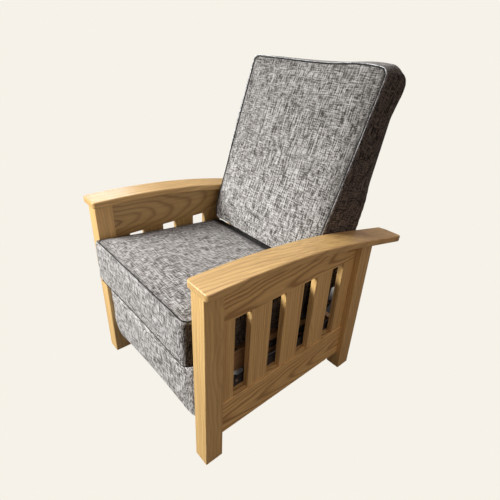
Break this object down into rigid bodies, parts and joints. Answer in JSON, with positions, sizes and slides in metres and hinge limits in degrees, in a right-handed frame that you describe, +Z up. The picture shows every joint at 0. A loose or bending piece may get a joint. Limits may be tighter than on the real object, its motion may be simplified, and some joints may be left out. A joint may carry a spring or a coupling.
{
  "type": "reclining armchair",
  "caption": "Reclining armchair with a slatted solid wood frame, flat bowed arms, boxed tweed cushions, a raked back and a footrest that folds out from under the seat.",
  "frame": {"origin": "on the floor, under the middle of the bounding box", "axes": "+Z up, the sitter faces -Y, the sitter's left is +X"},
  "size_m": [0.717, 0.8543, 1.0659],
  "materials": {
    "show_wood": "clear satin, light ash",
    "hidden_wood": "plain, unfinished",
    "board_wood": "plywood",
    "steel": "zinc plated",
    "black_steel": "black, satin",
    "tweed": "heather grey tweed",
    "webbing": "woven elastic band",
    "back_cloth": "dark grey-brown cloth"
  },
  "bodies": {
    "root": {"left_front_leg": "show_wood", "right_front_leg": "show_wood", "left_rear_leg": "show_wood", "right_rear_leg": "show_wood", "left_top_rail": "show_wood", "right_top_rail": "show_wood", "left_bottom_rail": "show_wood", "right_bottom_rail": "show_wood", "left_slats": "show_wood", "right_slats": "show_wood", "left_end_stiles": "show_wood", "right_end_stiles": "show_wood", "left_armrest": "show_wood", "right_armrest": "show_wood", "arm_dowels": "hidden_wood", "front_stretcher": "hidden_wood", "rear_stretcher": "hidden_wood", "left_base_plate": "black_steel", "right_base_plate": "black_steel", "base_screws": "steel", "base_pivot_pins": "steel"},
    "front_swing": {"front_swing_links": "steel"},
    "rear_swing": {"rear_swing_links": "steel"},
    "seat": {"left_seat_rail": "hidden_wood", "right_seat_rail": "hidden_wood", "front_seat_rail": "hidden_wood", "rear_seat_rail": "hidden_wood", "left_seat_hanger": "black_steel", "right_seat_hanger": "black_steel", "left_link_plate": "black_steel", "right_link_plate": "black_steel", "seat_pivot_pins": "steel", "seat_bolts": "steel", "lengthwise_straps": "webbing", "crosswise_straps": "webbing", "seat_cushion": "tweed"},
    "drive_links": {"left_drive_link": "steel", "right_drive_link": "steel", "cross_rod": "steel", "drive_link_pins": "steel"},
    "follower_links": {"left_follower_link": "steel", "right_follower_link": "steel", "follower_link_pins": "steel"},
    "carrier_links": {"left_carrier_link": "steel", "right_carrier_link": "steel", "carrier_pins": "steel"},
    "push_links": {"left_push_link": "steel", "right_push_link": "steel"},
    "footrest": {"left_footrest_bracket": "black_steel", "right_footrest_bracket": "black_steel", "bracket_pins": "steel", "footrest_board": "board_wood", "footrest_pad": "tweed"},
    "back": {"back_cushion": "tweed", "back_cover": "back_cloth", "back_stiles": "hidden_wood", "back_rails": "hidden_wood", "back_brackets": "black_steel"}
  },
  "joints": [
    {"name": "recline", "type": "hinge", "parent": "seat", "child": "back", "pos_m": [0, 0.1925, 0.292], "axis": [-1, 0, 0], "range_deg": [0, 28]},
    {"name": "front_swing", "type": "hinge", "parent": "root", "child": "front_swing", "pos_m": [0, -0.2533, 0.215], "axis": [-1, 0, 0], "range_deg": [-0.01, 55.01]},
    {"name": "seat_on_front_links", "type": "hinge", "parent": "front_swing", "child": "seat", "pos_m": [0, -0.23518, 0.14739], "axis": [-1, 0, 0], "range_deg": [-55.01, 0.01]},
    {"name": "rear_swing", "type": "hinge", "parent": "root", "child": "rear_swing", "pos_m": [0, 0.0664, 0.215], "axis": [-1, 0, 0], "range_deg": [-0.01, 55.01]},
    {"name": "footrest_open", "type": "hinge", "parent": "seat", "child": "drive_links", "pos_m": [0, -0.2935, 0.296], "axis": [-1, 0, 0], "range_deg": [0, 90]},
    {"name": "follower_turn", "type": "hinge", "parent": "seat", "child": "follower_links", "pos_m": [0, -0.2235, 0.288], "axis": [-1, 0, 0], "range_deg": [0, 90]},
    {"name": "carrier_turn", "type": "hinge", "parent": "drive_links", "child": "carrier_links", "pos_m": [0, -0.20052, 0.09661], "axis": [-1, 0, 0], "range_deg": [-90, 0]},
    {"name": "footrest_turn", "type": "hinge", "parent": "carrier_links", "child": "footrest", "pos_m": [0, -0.32852, 0.26201], "axis": [-1, 0, 0], "range_deg": [0, 90]},
    {"name": "push_turn", "type": "hinge", "parent": "drive_links", "child": "push_links", "pos_m": [0, -0.20558, 0.05693], "axis": [-1, 0, 0], "range_deg": [-90, 0]}
  ],
  "couplings": [
    {"joint": "front_swing", "follows": "recline", "ratio": 1.9643},
    {"joint": "seat_on_front_links", "follows": "recline", "ratio": -1.9643},
    {"joint": "rear_swing", "follows": "recline", "ratio": 1.9643},
    {"joint": "follower_turn", "follows": "footrest_open", "ratio": 1},
    {"joint": "carrier_turn", "follows": "footrest_open", "ratio": -1},
    {"joint": "footrest_turn", "follows": "footrest_open", "ratio": 1},
    {"joint": "push_turn", "follows": "footrest_open", "ratio": -1}
  ]
}
